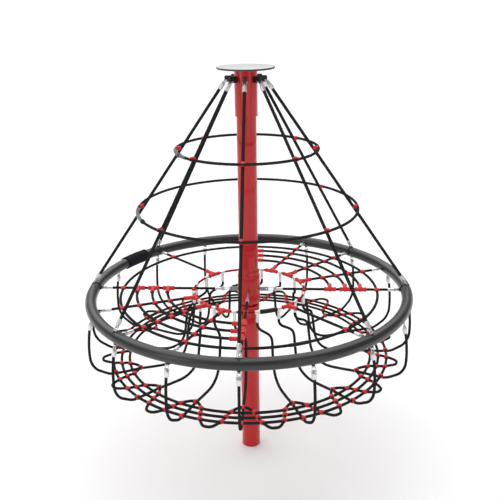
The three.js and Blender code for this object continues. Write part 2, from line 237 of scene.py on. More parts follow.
def arc_path(radius, z, start, end, spacing=0.010):
    """An arc about Z between two directions."""
    count = max(3, int(radius * math.radians(end - start) / spacing) + 1)
    return polar(radius, np.linspace(start, end, count), z)


def sweep(path, section, reference, closed=False, turns=0.0):
    """A section of (distance, angle) pairs carried along a path. At each point the section lies
    across the path: point + distance * (cos a * side + sin a * up), side = reference x tangent,
    up = tangent x side, and a grows evenly so that the section makes that many turns."""
    ahead = np.roll(path, -1, 0) - np.roll(path, 1, 0)
    if not closed:
        ahead[0], ahead[-1] = path[1] - path[0], path[-1] - path[-2]
    tangent = unit(ahead)
    side = unit(np.cross(np.asarray(reference, float), tangent))
    up = np.cross(tangent, side)
    distance, angle = section
    share = np.arange(len(path)) / (len(path) if closed else len(path) - 1)
    angle = angle[None] + 2 * math.pi * turns * share[:, None]
    across = np.cos(angle)[..., None] * side[:, None] + np.sin(angle)[..., None] * up[:, None]
    return path[:, None] + distance[None, :, None] * across


def round_section(radius, sides):
    """A circle of that radius."""
    return np.full(sides, radius), 2 * math.pi * np.arange(sides) / sides


def strap_section(half_width, half_thickness, sides=16):
    """A flat section with soft edges: ((half_width * cos a)^4 + (half_thickness * sin a)^4)^(1/4)."""
    angle = 2 * math.pi * np.arange(sides) / sides
    powers = (half_width * np.cos(angle)) ** 4 + (half_thickness * np.sin(angle)) ** 4
    return powers**0.25, angle


def strand_section(radius, points_each=4, groove=0.10):
    """Round strands laid side by side, broad crowns and narrow grooves:
    radius * (1 - groove * (1 - sqrt|cos(strands * a / 2)|))."""
    points = STRANDS * points_each
    angle = 2 * math.pi * np.arange(points) / points
    crown = np.sqrt(np.abs(np.cos(STRANDS * angle / 2)))
    return radius * (1 - groove * (1 - crown)), angle


def rope(path, diameter, reference=UP, closed=False):
    """A laid rope whose strands turn once round it in each lay, a whole number of times on a
    closed rope."""
    steps = np.diff(path, axis=0, append=path[:1] if closed else path[-1:])
    turns = np.linalg.norm(steps, axis=1).sum() / sizes().lay
    turns = round(turns) if closed else turns
    return sweep(path, strand_section(diameter / 2), reference, closed, turns), closed


def swollen(path, radii, sides=20):
    """A round section carried along a level path, with its own radius at each point of the path."""
    grid = sweep(path, round_section(1.0, sides), UP)
    return path[:, None] + (grid - path[:, None]) * radii[:, None, None], False


def joint_sleeve(radius, z, start, end, tube, mouth=0.8, shoulder=0.008, sides=20):
    """A sleeve over a closed rope's joint, between two directions. At distance s from its nearer
    end the radius is tube * (mouth + (1 - mouth) * sqrt(s / shoulder)), and at most tube."""
    spacing = 0.006
    path = arc_path(radius, z, start, end, spacing)
    share = np.linspace(0, 1, len(path))
    from_end = np.minimum(share, 1 - share) * len(path) * spacing
    rise = np.sqrt(np.clip(from_end / shoulder, 0, 1))
    return swollen(path, tube * (mouth + (1 - mouth) * rise), sides)


def across(directions):
    """Two unit vectors across each direction, so that (first, second, direction) is right-handed."""
    directions = unit(np.atleast_2d(np.asarray(directions, float)))
    helper = np.where(np.abs(directions[:, 2:]) > 0.9, [[1.0, 0, 0]], [[0, 0, 1.0]])
    first = unit(np.cross(helper, directions))
    return directions, first, np.cross(directions, first)


def turned(origins, directions, profile, sides=24, closed=False):
    """A profile of (radius, distance) pairs turned about each direction from each origin:
    origin + distance * d + radius * (cos a * first + sin a * second)."""
    origins = np.atleast_2d(np.asarray(origins, float))
    directions, first, second = across(directions)
    directions = np.broadcast_to(directions, origins.shape)
    first, second = (np.broadcast_to(axis, origins.shape) for axis in (first, second))
    radius, distance = np.asarray(profile, float).T
    angle = 2 * math.pi * np.arange(sides) / sides
    cosine, sine = np.cos(angle)[None, :, None], np.sin(angle)[None, :, None]
    round_about = cosine * first[:, None] + sine * second[:, None]
    centres = origins[:, None] + distance[None, :, None] * directions[:, None]
    return centres[:, :, None] + radius[None, :, None, None] * round_about[:, None], closed


def rounded(profile, fillet, steps=4, closed=False):
    """The profile with each inner corner replaced by a quadratic curve that starts and ends at
    most a fillet away from it: (1-t)^2 a + 2t(1-t) corner + t^2 b."""
    profile = np.asarray(profile, float)
    before = np.roll(profile, 1, 0) - profile
    after = np.roll(profile, -1, 0) - profile
    size_before = np.linalg.norm(before, axis=1, keepdims=True)
    size_after = np.linalg.norm(after, axis=1, keepdims=True)
    reach_before = np.minimum(fillet, size_before * 0.45) / size_before
    reach_after = np.minimum(fillet, size_after * 0.45) / size_after
    t = np.linspace(0, 1, steps)[None, :, None]
    start = (profile + before * reach_before)[:, None]
    end = (profile + after * reach_after)[:, None]
    curve = (1 - t) ** 2 * start + 2 * t * (1 - t) * profile[:, None] + t**2 * end
    if closed:
        return curve.reshape(-1, 2)
    return np.vstack([profile[:1], curve[1:-1].reshape(-1, 2), profile[-1:]])


def plate_with_hole(centres, lengthways, upwards, outline, hole, thickness, bevel=0.001):
    """A flat lug, closed round its hole. The outline is (x, y) points about the hole's centre, the
    hole is a radius, and rows run hole, face, edge, edge, face, hole, so the body is a ring."""
    outline = np.asarray(outline, float)
    angle = np.arctan2(outline[:, 1], outline[:, 0])
    bore = hole * np.stack([np.cos(angle), np.sin(angle)], -1)
    inset = outline * (1 - bevel / np.linalg.norm(outline, axis=1, keepdims=True))
    half = thickness / 2
    rows = [(bore, -half), (inset, -half), (outline, bevel - half), (outline, half - bevel),
            (inset, half), (bore, half)]
    centres = np.atleast_2d(centres)
    along = unit(np.atleast_2d(lengthways))
    up = unit(np.atleast_2d(upwards))
    through = np.cross(along, up)
    layers = [
        centres[:, None] + flat[None, :, :1] * along[:, None] + flat[None, :, 1:] * up[:, None]
        + height * through[:, None]
        for flat, height in rows
    ]
    return np.stack(layers, 1), True


def lug_outline(back, front, below, above, points=48):
    """Points about a lug's hole: in each direction as far as the nearest side of a rectangle that
    reaches back, front, below and above the hole, with its front corners rounded off by a smooth
    minimum (inverse sum of 6th powers)."""
    angle = 2 * math.pi * (np.arange(points) + 0.5) / points
    x, y = np.cos(angle), np.sin(angle)
    upright = np.where(y > 0, above, below) / np.maximum(np.abs(y), 1e-6)
    level = np.where(x > 0, front, back) / np.maximum(np.abs(x), 1e-6)
    rounded_off = (upright**-6.0 + level**-6.0) ** (-1 / 6)
    distance = np.where(x > 0, rounded_off, np.minimum(upright, level))
    return distance[:, None] * np.stack([x, y], -1)


def cross_clamps(centres, first_ropes, second_ropes, ball, collar, reach, sides, rows, tall=1):
    """Moulded clamps over crossings. In direction d the surface is as far out as the furthest of a
    ball and of a short collar along each rope: min(collar / sin, reach / |cos|) of the angle
    between d and that rope, joined by a smooth maximum (sum of 8th powers). Heights across both
    ropes are then multiplied by tall."""
    centres = np.atleast_2d(centres)
    first = unit(np.atleast_2d(first_ropes))
    second = unit(np.atleast_2d(second_ropes))
    normal = unit(np.cross(first, second))
    polar_angle = math.pi * (np.arange(rows) + 0.5) / rows
    turn = 2 * math.pi * np.arange(sides) / sides
    flat = np.sin(polar_angle)[:, None]
    level = np.cross(normal, first)
    directions = (
        (flat * np.cos(turn))[None, ..., None] * first[:, None, None]
        + (flat * np.sin(turn))[None, ..., None] * level[:, None, None]
        - np.broadcast_to(np.cos(polar_angle)[:, None], (rows, sides))[None, ..., None]
        * normal[:, None, None]
    )

    def collar_reach(axis):
        along = np.abs((directions * axis[:, None, None]).sum(-1))
        aside = np.sqrt(np.maximum(1 - along**2, 1e-6))
        return np.minimum(collar / aside, reach / np.maximum(along, 1e-6))

    parts = [np.full(directions.shape[:-1], ball), collar_reach(first), collar_reach(second)]
    distance = sum(part**8 for part in parts) ** (1 / 8)
    offsets = distance[..., None] * directions
    heights = (offsets * normal[:, None, None]).sum(-1, keepdims=True)
    offsets = offsets + (tall - 1) * heights * normal[:, None, None]
    return centres[:, None, None] + offsets, False


def shackles(pins, towards, spans, rod, width, length):
    """Bows with a pin across: each path leaves one end of its pin, runs straight ahead, goes round
    a half circle and comes back to the other end. Spans gives the pins' directions."""
    pins = np.atleast_2d(pins)
    along = unit(np.broadcast_to(towards, pins.shape).astype(float))
    span = unit(np.broadcast_to(spans, pins.shape).astype(float))
    half = width / 2
    turn = np.linspace(0, math.pi, 9)
    x = np.concatenate([[0], length - half + half * np.sin(turn), [0]])
    y = np.concatenate([[half], half * np.cos(turn), [-half]])
    patches = []
    for pin, ahead, aside in zip(pins, along, span):
        path = pin + x[:, None] * ahead + y[:, None] * aside
        patches.append((sweep(path, round_section(rod / 2, 8), np.cross(ahead, aside)), False))
    head = [[rod * 0.75, -half - rod * 1.1], [rod * 0.75, -half - rod * 0.4],
            [rod * 0.5, -half - rod * 0.4], [rod * 0.5, half + rod * 0.5],
            [rod * 0.95, half + rod * 0.5], [rod * 0.95, half + rod * 1.1]]
    patches.append(turned(pins, span, head, 8))
    return patches


def eyes(centres, axes, radius, rod):
    """Forged eyes: closed rings about each axis."""
    angle = 2 * math.pi * np.arange(12) / 12
    profile = np.stack([radius + rod * np.cos(angle), rod * np.sin(angle)], -1)
    return turned(centres, axes, profile, 20, closed=True)


# ---------- meshes from patches ----------


def patch_arrays(grid, closed, offset):
    """Vertices, faces and their UVs of one patch. A grid is rows by columns of points. Columns
    close on themselves. Rows do if closed, or else end in two flat lids. U goes once round and V
    counts the same lengths along, as the mean distance between rows."""
    grid = grid.reshape((-1,) + grid.shape[-3:])
    copies, rows, columns, _ = grid.shape
    index = offset + np.arange(copies * rows * columns).reshape(copies, rows, columns)
    here = index if closed else index[:, :-1]
    ahead = np.roll(index, -1, 1) if closed else index[:, 1:]
    quads = np.stack([here, np.roll(here, -1, 2), np.roll(ahead, -1, 2), ahead], -1).reshape(-1, 4)
    centres = grid.mean(2)
    steps = np.linalg.norm(np.roll(centres, -1, 1) - centres, axis=-1)
    girth = np.linalg.norm(np.roll(grid, -1, 2) - grid, axis=-1).sum(2).mean()
    along = np.concatenate([np.zeros((copies, 1)), np.cumsum(steps, 1)], 1) / girth
    spans = here.shape[1]
    u = np.arange(columns)[None, None] / columns * np.ones((copies, spans, 1))
    v_here = along[:, :spans, None] * np.ones((1, 1, columns))
    v_ahead = along[:, 1:spans + 1, None] * np.ones((1, 1, columns))
    across_u = u + 1 / columns
    uv = np.stack([u, v_here, across_u, v_here, across_u, v_ahead, u, v_ahead], -1).reshape(-1, 2)
    if closed:
        return grid.reshape(-1, 3), quads.ravel(), np.full(len(quads), 4), uv
    lids = np.concatenate([index[:, 0, ::-1], index[:, -1]])
    loops = np.concatenate([quads.ravel(), lids.ravel()])
    sizes = np.concatenate([np.full(len(quads), 4), np.full(len(lids), columns)])
    return grid.reshape(-1, 3), loops, sizes, np.vstack([uv, np.zeros((lids.size, 2))])


def make_piece(name, patches, material, nodes=(), body="carousel", sharp=35):
    """One object from its patches, riding on a body and standing for the CAD nodes named."""
    vertices, loops, sizes, uvs = [], [], [], []
    offset = 0
    for grid, closed in patches:
        points, patch_loops, patch_sizes, patch_uvs = patch_arrays(grid, closed, offset)
        offset += len(points)
        vertices.append(points)
        loops.append(patch_loops)
        sizes.append(patch_sizes)
        uvs.append(patch_uvs)
    vertices, loops, sizes, uvs = (np.concatenate(part) for part in (vertices, loops, sizes, uvs))
    mesh = bpy.data.meshes.new(name)
    mesh.vertices.add(len(vertices))
    mesh.vertices.foreach_set("co", vertices.astype(np.float32).ravel())
    mesh.loops.add(len(loops))
    mesh.loops.foreach_set("vertex_index", loops.astype(np.int32))
    mesh.polygons.add(len(sizes))
    starts = np.concatenate([[0], np.cumsum(sizes)[:-1]])
    mesh.polygons.foreach_set("loop_start", starts.astype(np.int32))
    mesh.uv_layers.new(name="UVMap").data.foreach_set("uv", uvs.astype(np.float32).ravel())
    mesh.update(calc_edges=True)
    mesh.shade_smooth()
    mesh.set_sharp_from_angle(angle=math.radians(sharp))
    mesh.materials.append(material)
    piece = bpy.data.objects.new(name, mesh)
    bpy.context.scene.collection.objects.link(piece)
    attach(piece, body)
    if nodes:
        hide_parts(*nodes)
    return piece


# ---------- materials ----------


def add_node(tree, kind, inputs=None, **settings):
    """Adds a node, sets what it has, and links or fills its inputs."""
    added = tree.nodes.new(kind)
    for setting, value in settings.items():
        setattr(added, setting, value)
    for key, value in (inputs or {}).items():
        if isinstance(value, bpy.types.NodeSocket):
            tree.links.new(value, added.inputs[key])
        else:
            added.inputs[key].default_value = value
    return added


def new_material(name):
    """An empty material, and its node tree."""
    material = bpy.data.materials.new(name)
    material.use_nodes = True
    material.node_tree.nodes.clear()
    return material, material.node_tree


def shade(colour, factor):
    """The colour made lighter or darker by a factor."""
    return (*(min(1.0, part * factor) for part in colour), 1.0)


def finish_material(material, tree, colour, tones, inputs, gloss=None, relief=None):
    """Sends a Principled shader to the material's output. Tones is a pattern and the factors on the
    colour at its 0 and its 1, gloss is a pattern and the roughness at its 0 and its 1, and relief
    is a pattern and its depth in millimetres."""
    pattern, darker, lighter = tones
    base = add_node(tree, "ShaderNodeMix", {"Factor": pattern, "A": shade(colour, darker),
                    "B": shade(colour, lighter)}, data_type="RGBA")
    inputs = {"Base Color": base.outputs["Result"], **inputs}
    if gloss:
        pattern, low, high = gloss
        roughness = add_node(tree, "ShaderNodeMapRange", {"Value": pattern, "To Min": low,
                             "To Max": high})
        inputs["Roughness"] = roughness.outputs["Result"]
    if relief:
        pattern, depth_mm = relief
        bump = add_node(tree, "ShaderNodeBump", {"Height": pattern, "Strength": 1.0,
                        "Distance": depth_mm / 1000})
        inputs["Normal"] = bump.outputs["Normal"]
    shader = add_node(tree, "ShaderNodeBsdfPrincipled", inputs)
    add_node(tree, "ShaderNodeOutputMaterial", {"Surface": shader.outputs[0]})
    return material


def mottled_material(name, colour, patch_mm, tones, inputs, gloss=None, relief_mm=None,
                     grain_mm=None, grain_detail=2.0):
    """A material whose colour varies between two tones in patches of a size in millimetres. Its
    gloss and relief follow a finer grain where one is given, or else the same patches."""
    material, tree = new_material(name)
    place = add_node(tree, "ShaderNodeTexCoord").outputs["Object"]
    patches = add_node(tree, "ShaderNodeTexNoise", {"Vector": place, "Scale": 1000 / patch_mm,
                       "Detail": 3.0}).outputs["Fac"]
    grain = patches
    if grain_mm:
        grain = add_node(tree, "ShaderNodeTexNoise", {"Vector": place, "Scale": 1000 / grain_mm,
                         "Detail": grain_detail}).outputs["Fac"]
    return finish_material(material, tree, colour, (patches, *tones), inputs,
                           gloss and (grain, *gloss), relief_mm and (grain, relief_mm))


def powder_coated_steel(colour):
    """Gloss polyester powder coat, baked on blasted tube: a deep even red under a clear skin, with
    orange peel of about 2 mm that softens what it mirrors."""
    return mottled_material("powder_coated_steel", colour, 60, (0.96, 1.04), {
        "Roughness": 0.3, "Specular IOR Level": 0.2, "Coat Weight": 0.6, "Coat Roughness": 0.06,
    }, relief_mm=0.02, grain_mm=2.2, grain_detail=1.0)


def moulded_polyamide(colour):
    """Injection moulded nylon: satin, slightly uneven gloss from a fine spark-eroded grain."""
    return mottled_material("moulded_polyamide", colour, 25, (0.92, 1.06),
                            {"Specular IOR Level": 0.35}, (0.34, 0.5), 0.05, grain_mm=0.7)


def braided_polyester(name, colour):
    """Polyester yarn over steel-core strands: matt, with yarns that lean across each strand, and
    painted shade that darkens the grooves between the strands and between the yarns. Yarns are drawn
    nearly 3 mm wide, about twice their real width, so that they show."""
    yarns_round, yarns_along = 18, 16.2
    material, tree = new_material(name)
    place = add_node(tree, "ShaderNodeUVMap", uv_map="UVMap").outputs["UV"]
    split = add_node(tree, "ShaderNodeSeparateXYZ", {"Vector": place})
    strand = add_node(tree, "ShaderNodeMath", {0: split.outputs["X"], 1: STRANDS * math.pi},
                      operation="MULTIPLY")
    lobe = add_node(tree, "ShaderNodeMath", {0: strand.outputs[0]}, operation="COSINE")
    crown = add_node(tree, "ShaderNodeMath", {0: lobe.outputs[0]}, operation="ABSOLUTE")
    along = add_node(tree, "ShaderNodeMath", {0: split.outputs["Y"], 1: yarns_along},
                     operation="MULTIPLY")
    lean = add_node(tree, "ShaderNodeMath", {0: split.outputs["X"], 1: yarns_round,
                    2: along.outputs[0]}, operation="MULTIPLY_ADD")
    angle = add_node(tree, "ShaderNodeMath", {0: lean.outputs[0], 1: 2 * math.pi},
                     operation="MULTIPLY")
    yarn = add_node(tree, "ShaderNodeMath", {0: angle.outputs[0]}, operation="SINE")
    height = add_node(tree, "ShaderNodeMapRange", {"Value": yarn.outputs[0], "From Min": -1.0,
                      "To Min": 0.0, "To Max": 1.0}).outputs["Result"]
    # Painted shade: the colour is darkest in the grooves between strands and between yarns, and
    # lightest on the yarns' tops.
    painted_groove_shade = add_node(tree, "ShaderNodeMath", {0: height, 1: crown.outputs[0]}, operation="MULTIPLY")
    return finish_material(material, tree, colour, (painted_groove_shade.outputs[0], 0.4, 1.7), {
        "Roughness": 0.8, "Specular IOR Level": 0.06}, relief=(height, 0.5))


def swaged_aluminium():
    """Pressed aluminium: bright and slightly satin, with faint press marks round it."""
    return mottled_material("swaged_aluminium", linear("E2E2E2"), 8, (0.8, 1.1), {"Metallic": 1.0},
                            (0.25, 0.42), 0.1)


def stainless_steel():
    """Forged and tumbled stainless steel: bright, with soft marks."""
    return mottled_material("stainless_steel", linear("C8C9CA"), 5, (0.75, 1.15),
                            {"Metallic": 1.0}, (0.2, 0.36))


def galvanised_steel(name, hex_colour):
    """Hot-dip galvanised plate: dull grey with crystals of about 6 mm that differ in shade."""
    material, tree = new_material(name)
    place = add_node(tree, "ShaderNodeTexCoord").outputs["Object"]
    spangle = add_node(tree, "ShaderNodeTexVoronoi", {"Vector": place, "Scale": 1000 / 6})
    value = add_node(tree, "ShaderNodeSeparateColor", {"Color": spangle.outputs["Color"]})
    return finish_material(material, tree, linear(hex_colour), (value.outputs[0], 0.8, 1.2),
                           {"Metallic": 0.9}, (value.outputs[1], 0.38, 0.55))


def rubber_cover(colour):
    """An extruded rubber hose over the ring's tube: dark grey with a soft broad highlight and a
    fine dusty grain."""
    return mottled_material("rubber_cover", colour, 40, (0.86, 1.12), {"Specular IOR Level": 0.55},
                            (0.24, 0.34), 0.12, grain_mm=1.5, grain_detail=3.0)


def knitted_wrap(colour):
    """A knitted sleeve that is laced over the ring's joint: matt blue-black, ribs drawn at 6 mm, with
    painted shade that darkens the furrows between the ribs.
    """
    material, tree = new_material("knitted_wrap")
    place = add_node(tree, "ShaderNodeUVMap", uv_map="UVMap").outputs["UV"]
    rib = add_node(tree, "ShaderNodeTexWave", {"Vector": place, "Scale": 16.0, "Distortion": 0.6,
                   "Detail": 1.0}, wave_type="BANDS", bands_direction="Y").outputs["Fac"]
    # Painted shade: the colour is darker in the furrows between the ribs, where the relief is low.
    return finish_material(material, tree, colour, (rib, 0.6, 1.3), {
        "Roughness": 0.85, "Specular IOR Level": 0.15}, relief=(rib, 1.2))


def compact_laminate(name, colour):
    """High-pressure laminate: hard, satin, with a very fine pearl texture."""
    return mottled_material(name, colour, 120, (0.97, 1.02), {"Roughness": 0.36}, relief_mm=0.03,
                            grain_mm=1.0)


def black_polyethylene():
    """Moulded polyethylene: near black, waxy, softly shiny."""
    return mottled_material("black_polyethylene", linear("0E0F10"), 12, (0.8, 1.3), {
        "Roughness": 0.45, "Specular IOR Level": 0.3}, relief_mm=0.08)


def smoke_grey_pvc():
    """PVC hose shrunk over a rope joint: a green-grey skin, smooth and shiny."""
    return mottled_material("smoke_grey_pvc", linear("505955"), 10, (0.75, 1.2), {
        "Roughness": 0.3, "IOR": 1.53}, relief_mm=0.2)


def studio_floor():
    """A matt white painted floor."""
    return mottled_material("studio_floor", (0.88, 0.88, 0.88), 800, (0.995, 1.005), {
        "Roughness": 0.9, "Specular IOR Level": 0.1})


_made = {}


def material_for(maker, *settings):
    """The same material each time it is asked for with the same settings."""
    key = (maker, *settings)
    if key not in _made:
        _made[key] = maker(*settings)
    return _made[key]


def red_plastic():
    return material_for(moulded_polyamide, tuple(colours().clamps))


def dark_plate():
    return material_for(galvanised_steel, "dark_galvanised_steel", "3A3D40")


def make_rope(name, patches, nodes):
    """One piece of the ropes' yarn."""
    yarn = material_for(braided_polyester, "braided_polyester", tuple(colours().ropes))
    return make_piece(name, patches, yarn, nodes)


# ---------- steelwork ----------


def about_mast(outline, fillet, sides=96):
    """A closed outline of (radius, height) points, its corners softened, turned about Z."""
    return turned((0, 0, 0), UP, rounded(outline, fillet, closed=True), sides, closed=True)


class CAROUSEL_OT_steelwork(bpy.types.Operator):
    """Turn the post, its collar, the bearing seam and the mast with its two sleeves"""

    bl_idname = "carousel.steelwork"
    bl_label = "Steelwork"

    def execute(self, context):
        red = material_for(powder_coated_steel, tuple(colours().steel))
        wall = 0.006
        bore = 0.0353  # of the collar and the seal, round the spindle
        snug = MAST_RADIUS + GAP

        def tube(name, node, body, heights, radius, inside, fillet=0.003, foot=None):
            bottom, top = heights
            outline = [(inside, bottom), (foot or radius, bottom), (radius, bottom + fillet * 1.2),
                       (radius, top), (inside, top)]
            make_piece(name, [about_mast(outline, fillet)], red, [node], body)

        tube("post", "ground_post", "post", (0, POST_TOP), POST_RADIUS, POST_RADIUS - wall)
        tube("collar", "post_collar", "post", (POST_TOP + GAP, COLLAR_TOP), COLLAR_RADIUS, bore, 0.004)
        tube("mast", "mast_tube", "carousel", (HUB_BOTTOM, PLATE_BOTTOM - GAP), MAST_RADIUS,
             MAST_RADIUS - wall)
        tube("head", "head_sleeve", "carousel", (HEAD_BOTTOM, HEAD_TOP), HEAD_RADIUS, snug,
             foot=HEAD_RADIUS - wall)
        shoulder = HUB_TOP - 0.040
        neck = MAST_RADIUS + 0.0085
        hub = [(snug, HUB_BOTTOM), (HUB_RADIUS - 0.004, HUB_BOTTOM),
               (HUB_RADIUS, HUB_BOTTOM + 0.005), (HUB_RADIUS, shoulder),
               (neck, shoulder + 0.004), (neck, HUB_TOP - 0.006),
               (MAST_RADIUS + 0.004, HUB_TOP), (snug, HUB_TOP)]
        make_piece("hub", [about_mast(hub, 0.003)], red, ["hub_sleeve"])
        rim = MAST_RADIUS - 0.008
        seal = [(bore, COLLAR_TOP + GAP), (rim, COLLAR_TOP + GAP), (rim, HUB_BOTTOM - GAP),
                (bore, HUB_BOTTOM - GAP)]
        make_piece("bearing_seal", [about_mast(seal, 0.002)], red, ["lower_bearing"],
                   "post")
        for node in ("spindle", "hub_bearing", "head_bearing"):
            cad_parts[node].material_slots[0].material = material_for(stainless_steel)
        return {"FINISHED"}


class CAROUSEL_OT_top_plate(bpy.types.Operator):
    """Make the round plate over the head with its white faces, dark core and four screws"""

    bl_idname = "carousel.top_plate"
    bl_label = "Top plate"

    def execute(self, context):
        skin = 0.0005
        chamfer = 0.001
        low, high = PLATE_BOTTOM + skin, PLATE_TOP - skin
        edge = [(PLATE_RADIUS - chamfer, low), (PLATE_RADIUS, low + chamfer),
                (PLATE_RADIUS, high - chamfer), (PLATE_RADIUS - chamfer, high)]
        make_piece("plate_core", [turned((0, 0, 0), UP, rounded(edge, 0.0006), 128)],
                   material_for(compact_laminate, "laminate_core", linear("303334")),
                   ["top_plate"])
        faces = []
        for bottom, top in ((PLATE_BOTTOM, low), (high, PLATE_TOP - GAP)):
            disc = [(PLATE_RADIUS - 0.0042, bottom), (PLATE_RADIUS - 0.0038, (bottom + top) / 2),
                    (PLATE_RADIUS - 0.0042, top)]
            faces.append(turned((0, 0, 0), UP, disc, 128))
        white = material_for(compact_laminate, "laminate_face", tuple(colours().plate))
        make_piece("plate_faces", faces, white)
        seats = polar(0.105, 15 + 90 * np.arange(4), PLATE_TOP + 0.0002)
        screw = [(0.009, -0.0055), (0.009, -0.0012), (0.0082, -0.0004), (0.0048, -0.0002),
                 (0.0042, -0.0022)]
        make_piece("plate_screws", [turned(seats, UP, screw)], material_for(stainless_steel),
                   [f"plate_screw_{number}" for number in (1, 2, 3, 4)])
        return {"FINISHED"}


# ---------- cone ----------


def cone_radius(z):
    """Straight main ropes: the radius grows by the slope for each metre down."""
    return UPPER_HOOP_RADIUS - HOOP_OFFSET + CONE_SLOPE * (UPPER_HOOP_Z - z)


def ferrule_profile(diameter, length, rope_diameter):
    """A swaged ferrule: rounded ends, and a cone down to the rope at its far end."""
    half = diameter / 2
    return rounded([(half * 0.72, 0), (half, 0.004), (half, length - 0.007),
                    (rope_diameter / 2 + 0.0015, length)], 0.003)


class CAROUSEL_OT_main_ropes(bpy.types.Operator):
    """Lay the eight straight ropes of the cone with their ferrules, eyes and shackles"""

    bl_idname = "carousel.main_ropes"
    bl_label = "Main ropes"

    def execute(self, context):
        in_ferrule = 0.03
        tops = polar(cone_radius(MAIN_TOP_Z), MAIN_ROPES, MAIN_TOP_Z)
        feet = polar(cone_radius(MAIN_FOOT_Z), MAIN_ROPES, MAIN_FOOT_Z)
        down = unit(feet - tops)
        sideways = polar(1, MAIN_ROPES + 90, 0)
        for number, (top, foot, side) in enumerate(zip(tops, feet, sideways), 1):
            inset = in_ferrule * unit(foot - top)
            path = spaced(np.array([top + inset, foot - inset]), 0.012)
            make_rope(f"cone_rope_{number}", [rope(path, sizes().main_rope, side)],
                      [f"main_rope_{number}"])
        profile = ferrule_profile(sizes().ferrule, 0.046, sizes().main_rope)
        make_piece("cone_ferrules", [turned(tops, down, profile), turned(feet, -down, profile)],
                   material_for(swaged_aluminium))
        lug_holes = polar(HEAD_HOLE, MAIN_ROPES, HEAD_HOLE_Z)
        grips = polar(RING_RADIUS + 0.004, MAIN_ROPES, RING_Z + RING_TUBE + 0.006)
        fittings = []
        for pins, centres in ((lug_holes, tops - down * 0.006), (grips, feet + down * 0.006)):
            length = np.linalg.norm(centres - pins, axis=1).mean() + 0.006
            fittings.append(eyes(centres, sideways, 0.009, 0.0045))
            fittings += shackles(pins, centres - pins, sideways, sizes().shackle, 0.024, length)
        make_piece("cone_shackles", fittings, material_for(stainless_steel))
        return {"FINISHED"}


def lug_plates(hole, directions, z, outline, thickness):
    """Upright plates that stand out from the mast, with a hole at this radius and height."""
    upwards = np.tile(np.array(UP, float), (len(directions), 1))
    return plate_with_hole(polar(hole, directions, z), polar(1, directions, 0), upwards, outline,
                           0.0055, thickness)


class CAROUSEL_OT_head_lugs(bpy.types.Operator):
    """Cut the eight dark plates that stand out from the head and hold the main ropes"""

    bl_idname = "carousel.head_lugs"
    bl_label = "Head lugs"

    def execute(self, context):
        outline = lug_outline(HEAD_HOLE - HEAD_RADIUS + 0.002, HEAD_LUG_REACH - HEAD_HOLE,
                              HEAD_HOLE_Z - HEAD_LUG_BOTTOM, HEAD_LUG_TOP - HEAD_HOLE_Z)
        lugs = lug_plates(HEAD_HOLE, MAIN_ROPES, HEAD_HOLE_Z, outline, 0.016)
        make_piece("head_brackets", [lugs], dark_plate(), ["head_lugs"])
        return {"FINISHED"}


class CAROUSEL_OT_hoops(bpy.types.Operator):
    """Lay the cone's two rope hoops with their clamps and joint sleeves"""

    bl_idname = "carousel.hoops"
    bl_label = "Hoops"

    def execute(self, context):
        ball = sizes().basket_clamp * 0.56
        cap_at = 208  # the direction of the short cap over each sleeve
        clamps, sleeves, caps = [], [], []
        for name, z, radius, sleeve_end in (
                ("upper_hoop", UPPER_HOOP_Z, UPPER_HOOP_RADIUS, 219),
                ("lower_hoop", LOWER_HOOP_Z, LOWER_HOOP_RADIUS, cap_at)):
            make_rope(f"{name}_rope", [rope(circle_path(radius, z), sizes().rope, closed=True)],
                      [name])
            apart = radius - cone_radius(z)
            barrel = rounded([(0.010, -0.005), (ball, 0.003), (ball, apart - 0.002),
                              (0.010, apart + 0.007)], 0.004)
            clamps.append(turned(polar(cone_radius(z), MAIN_ROPES, z), polar(1, MAIN_ROPES, 0),
                                 barrel, 20))
            sleeves.append(joint_sleeve(radius, z, 184, sleeve_end, 0.0128))
            half = math.degrees(0.015 / radius)
            caps.append(joint_sleeve(radius, z, cap_at - half, cap_at + half, 0.0165))
        make_piece("hoop_clamps", clamps, red_plastic())
        make_piece("hoop_sleeves", sleeves, material_for(smoke_grey_pvc))
        make_piece("hoop_sleeve_caps", caps, material_for(black_polyethylene))
        return {"FINISHED"}


# ---------- ring ----------


class CAROUSEL_OT_ring(bpy.types.Operator):
    """Bend the big ring with its rubber cover, rope grips and the wrap over its joint"""

    bl_idname = "carousel.ring"
    bl_label = "Ring"

    def execute(self, context):
        path = circle_path(RING_RADIUS, RING_Z, 0.018)
        make_piece("ring_tube", [(sweep(path, round_section(RING_TUBE, 48), UP, True), True)],
                   material_for(rubber_cover, tuple(colours().ring)), ["main_ring"])
        wrap = joint_sleeve(RING_RADIUS, RING_Z, 141.8, 154, 0.050, 0.85, 0.006, 48)
        make_piece("ring_wrap", [wrap], material_for(knitted_wrap, tuple(colours().wrap)),
                   ["ring_sleeve"])
        section = strap_section(0.0075, 0.0022)
        over = np.radians(np.linspace(58, 186, 24))
        radii = RING_RADIUS + (RING_TUBE + 0.0015) * np.cos(over)
        heights = RING_Z + (RING_TUBE + 0.0015) * np.sin(over)
        straps = [(sweep(polar(radii, degrees, heights), section, -polar(1, degrees, 0)), False)
                  for degrees in MAIN_ROPES]
        make_piece("ring_grips", straps, dark_plate())
        return {"FINISHED"}


# ---------- web ----------


def spoke(start, degrees):
    """A level rope in one direction, from a radius to 20 mm inside its outer ferrule."""
    ends = polar(np.array([start, SPOKE_END - 0.02]), degrees, RING_Z)
    return rope(spaced(ends, 0.012), sizes().rope)


def tee_profile(half, length):
    """A moulded sleeve with a bead at each end."""
    bead, neck = half * 1.08, half * 0.94
    return rounded([(half * 0.7, 0), (bead, 0.002), (bead, 0.012), (neck, 0.016),
                    (neck, length - 0.016), (bead, length - 0.012), (bead, length - 0.002),
                    (half * 0.7, length)], 0.003)


def branch_profile(root, tip, length):
    """A moulded branch: wide at its root, narrowing to a beaded mouth."""
    return rounded([(root, 0), (root, length * 0.12), (tip, length * 0.45), (tip, length - 0.016),
                    (tip * 1.1, length - 0.013), (tip * 1.1, length - 0.002), (tip * 0.75, length)],
                   0.003)


